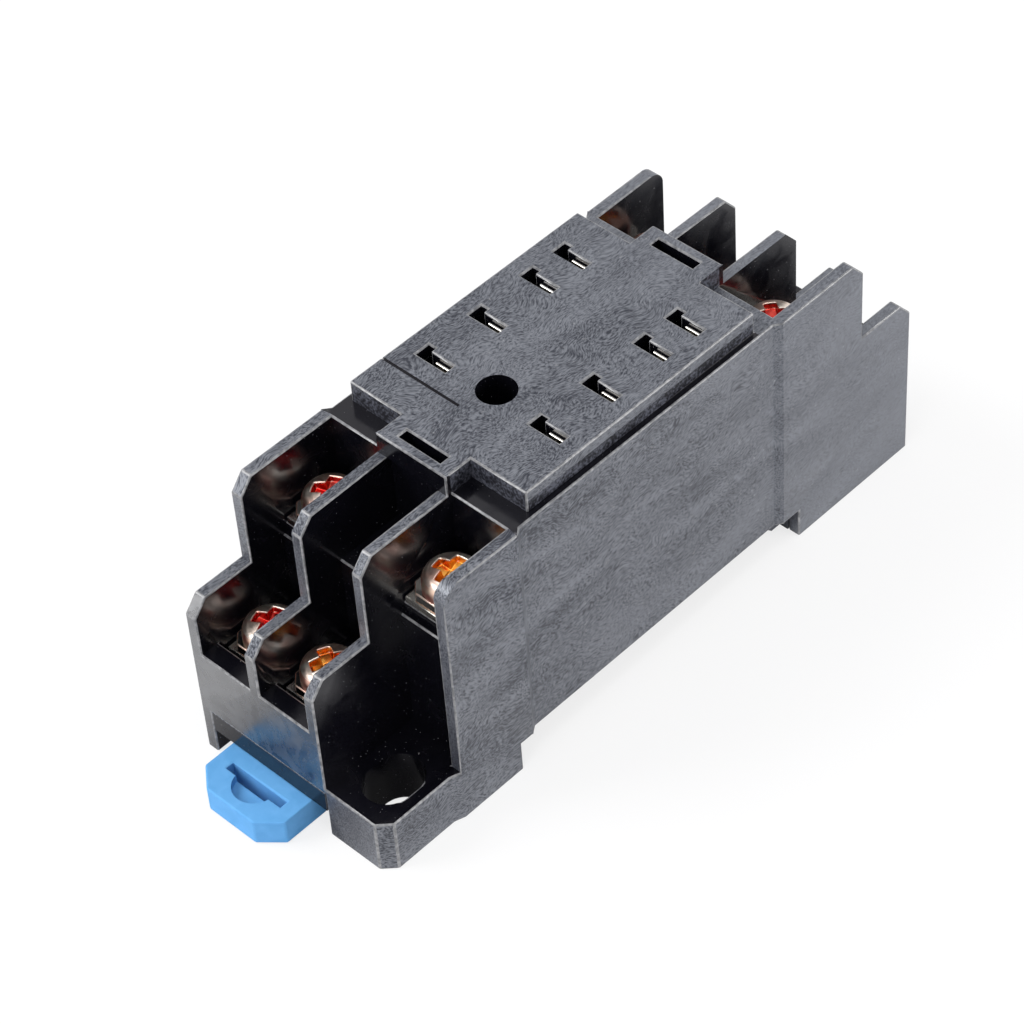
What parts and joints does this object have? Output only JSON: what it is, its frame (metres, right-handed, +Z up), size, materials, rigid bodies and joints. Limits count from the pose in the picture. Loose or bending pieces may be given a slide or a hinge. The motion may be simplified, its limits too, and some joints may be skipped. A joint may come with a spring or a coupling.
{
  "type": "relay socket",
  "caption": "Black screw-terminal socket for a plug-in blade relay, with stepped terminal bays at both ends and a blue sliding rail clip.",
  "frame": {"origin": "centre of the socket's length and width, on the face that seats on the rail; the feet and the clip reach below it", "axes": "+X along the body away from the clip, +Y to the left seen from the clip's end, +Z up to the plug-in face"},
  "size_m": [0.0736, 0.023, 0.0303],
  "materials": {
    "housing_plastic": "black glass-filled thermoplastic with a fine satin mould texture",
    "clip_plastic": "light blue matt thermoplastic",
    "strip_metal": "tin-plated brass strip",
    "clamp_metal": "yellow-zinc plated steel",
    "screw_zinc": "yellow-zinc plated steel",
    "spring_steel": "bright spring wire"
  },
  "bodies": {
    "socket": {"housing": "housing_plastic", "base_plate": "housing_plastic", "clip_spring": "spring_steel", "terminal_1": "strip_metal", "terminal_2": "strip_metal", "terminal_3": "strip_metal", "terminal_4": "strip_metal", "terminal_5": "strip_metal", "terminal_6": "strip_metal", "terminal_7": "strip_metal", "terminal_8": "strip_metal"},
    "clip": {"rail_clip": "clip_plastic"},
    "clamp_1": {"clamp_plate_1": "clamp_metal"},
    "screw_1": {"terminal_screw_1": "screw_zinc"},
    "clamp_2": {"clamp_plate_2": "clamp_metal"},
    "screw_2": {"terminal_screw_2": "screw_zinc"},
    "clamp_3": {"clamp_plate_3": "clamp_metal"},
    "screw_3": {"terminal_screw_3": "screw_zinc"},
    "clamp_4": {"clamp_plate_4": "clamp_metal"},
    "screw_4": {"terminal_screw_4": "screw_zinc"},
    "clamp_5": {"clamp_plate_5": "clamp_metal"},
    "screw_5": {"terminal_screw_5": "screw_zinc"},
    "clamp_6": {"clamp_plate_6": "clamp_metal"},
    "screw_6": {"terminal_screw_6": "screw_zinc"},
    "clamp_7": {"clamp_plate_7": "clamp_metal"},
    "screw_7": {"terminal_screw_7": "screw_zinc"},
    "clamp_8": {"clamp_plate_8": "clamp_metal"},
    "screw_8": {"terminal_screw_8": "screw_zinc"}
  },
  "joints": [
    {"name": "clip_slide", "type": "slide", "parent": "socket", "child": "clip", "axis": [-1, 0, 0], "range_m": [0, 0.0025], "stiffness_N_per_m": 800, "springref_m": -0.00125, "deforming": ["clip_spring"]},
    {"name": "clamp_1_lift", "type": "slide", "parent": "socket", "child": "clamp_1", "axis": [0, 0, 1], "range_m": [0, 0.0025]},
    {"name": "screw_1_turn", "type": "hinge", "parent": "clamp_1", "child": "screw_1", "pos_m": [-0.0203, 0.0072, 0.018], "axis": [0, 0, 1], "range_deg": [0, 1800]},
    {"name": "clamp_2_lift", "type": "slide", "parent": "socket", "child": "clamp_2", "axis": [0, 0, 1], "range_m": [0, 0.0025]},
    {"name": "screw_2_turn", "type": "hinge", "parent": "clamp_2", "child": "screw_2", "pos_m": [-0.0203, -0.00713, 0.018], "axis": [0, 0, 1], "range_deg": [0, 1800]},
    {"name": "clamp_3_lift", "type": "slide", "parent": "socket", "child": "clamp_3", "axis": [0, 0, 1], "range_m": [0, 0.0025]},
    {"name": "screw_3_turn", "type": "hinge", "parent": "clamp_3", "child": "screw_3", "pos_m": [-0.0287, 0.0072, 0.009], "axis": [0, 0, 1], "range_deg": [0, 1800]},
    {"name": "clamp_4_lift", "type": "slide", "parent": "socket", "child": "clamp_4", "axis": [0, 0, 1], "range_m": [0, 0.0025]},
    {"name": "screw_4_turn", "type": "hinge", "parent": "clamp_4", "child": "screw_4", "pos_m": [-0.0287, 0.00007, 0.009], "axis": [0, 0, 1], "range_deg": [0, 1800]},
    {"name": "clamp_5_lift", "type": "slide", "parent": "socket", "child": "clamp_5", "axis": [0, 0, 1], "range_m": [0, 0.0025]},
    {"name": "screw_5_turn", "type": "hinge", "parent": "clamp_5", "child": "screw_5", "pos_m": [0.0203, -0.0072, 0.018], "axis": [0, 0, 1], "range_deg": [0, 1800]},
    {"name": "clamp_6_lift", "type": "slide", "parent": "socket", "child": "clamp_6", "axis": [0, 0, 1], "range_m": [0, 0.0025]},
    {"name": "screw_6_turn", "type": "hinge", "parent": "clamp_6", "child": "screw_6", "pos_m": [0.0203, 0.00713, 0.018], "axis": [0, 0, 1], "range_deg": [0, 1800]},
    {"name": "clamp_7_lift", "type": "slide", "parent": "socket", "child": "clamp_7", "axis": [0, 0, 1], "range_m": [0, 0.0025]},
    {"name": "screw_7_turn", "type": "hinge", "parent": "clamp_7", "child": "screw_7", "pos_m": [0.0287, -0.0072, 0.009], "axis": [0, 0, 1], "range_deg": [0, 1800]},
    {"name": "clamp_8_lift", "type": "slide", "parent": "socket", "child": "clamp_8", "axis": [0, 0, 1], "range_m": [0, 0.0025]},
    {"name": "screw_8_turn", "type": "hinge", "parent": "clamp_8", "child": "screw_8", "pos_m": [0.0287, -0.00007, 0.009], "axis": [0, 0, 1], "range_deg": [0, 1800]}
  ],
  "couplings": [
    {"joint": "screw_1_turn", "follows": "clamp_1_lift", "rad_per_m": 12566},
    {"joint": "screw_2_turn", "follows": "clamp_2_lift", "rad_per_m": 12566},
    {"joint": "screw_3_turn", "follows": "clamp_3_lift", "rad_per_m": 12566},
    {"joint": "screw_4_turn", "follows": "clamp_4_lift", "rad_per_m": 12566},
    {"joint": "screw_5_turn", "follows": "clamp_5_lift", "rad_per_m": 12566},
    {"joint": "screw_6_turn", "follows": "clamp_6_lift", "rad_per_m": 12566},
    {"joint": "screw_7_turn", "follows": "clamp_7_lift", "rad_per_m": 12566},
    {"joint": "screw_8_turn", "follows": "clamp_8_lift", "rad_per_m": 12566}
  ]
}
